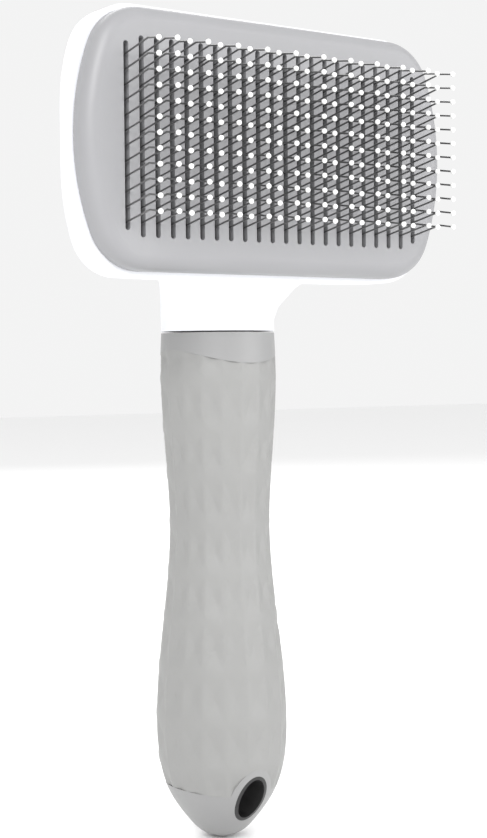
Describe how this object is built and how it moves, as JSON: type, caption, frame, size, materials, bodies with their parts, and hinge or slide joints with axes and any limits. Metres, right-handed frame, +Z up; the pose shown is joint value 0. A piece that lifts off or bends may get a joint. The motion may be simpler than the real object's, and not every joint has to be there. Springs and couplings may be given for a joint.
{
  "type": "slicker brush",
  "caption": "Self-cleaning slicker brush: slotted plate on a wide head, bent wire pins, push button at the rear, grip handle with a hanging hole.",
  "frame": {"origin": "centre of the hanging hole, on the handle's axis", "axes": "+Z up along the handle to the head, -Y the way the pins point, X across the head"},
  "size_m": [0.1072, 0.0595, 0.2028],
  "materials": {
    "white_shell": "satin",
    "black_base": "satin",
    "screw_steel": "satin",
    "spring_steel": "satin",
    "grey_handle": "satin",
    "grey_grip": "satin",
    "dark_liner": "satin",
    "white_bead": "satin",
    "grey_plate": "satin",
    "button_grey": "satin",
    "pin_wire": "satin"
  },
  "bodies": {
    "brush": {"rear_shell": "white_shell", "pin_base": "black_base", "pin_retainer": "black_base", "base_screws": "screw_steel", "return_spring": "spring_steel", "handle_front": "grey_handle", "handle_rear": "grey_handle", "grip_front": "grey_grip", "grip_rear": "grey_grip", "hole_liner": "dark_liner", "handle_screws": "screw_steel", "bead_rows_odd": "white_bead", "bead_rows_even": "white_bead", "pin_row_01": "pin_wire", "pin_row_02": "pin_wire", "pin_row_03": "pin_wire", "pin_row_04": "pin_wire", "pin_row_05": "pin_wire", "pin_row_06": "pin_wire", "pin_row_07": "pin_wire", "pin_row_08": "pin_wire", "pin_row_09": "pin_wire", "pin_row_10": "pin_wire", "pin_row_11": "pin_wire", "pin_row_12": "pin_wire", "pin_row_13": "pin_wire", "pin_row_14": "pin_wire", "pin_row_15": "pin_wire", "pin_row_16": "pin_wire", "pin_row_17": "pin_wire", "pin_row_18": "pin_wire", "pin_row_19": "pin_wire", "pin_row_20": "pin_wire", "pin_row_21": "pin_wire", "pin_row_22": "pin_wire"},
    "stripper": {"front_plate": "grey_plate", "guide_posts": "spring_steel", "yoke": "black_base", "button": "button_grey", "button_screws": "screw_steel", "post_screws": "screw_steel"}
  },
  "joints": [
    {"name": "button_press", "type": "slide", "parent": "brush", "child": "stripper", "axis": [0, -1, 0], "range_m": [0, 0.01], "stiffness_N_per_m": 150, "springref_m": -0.008, "deforming": ["return_spring"]}
  ]
}
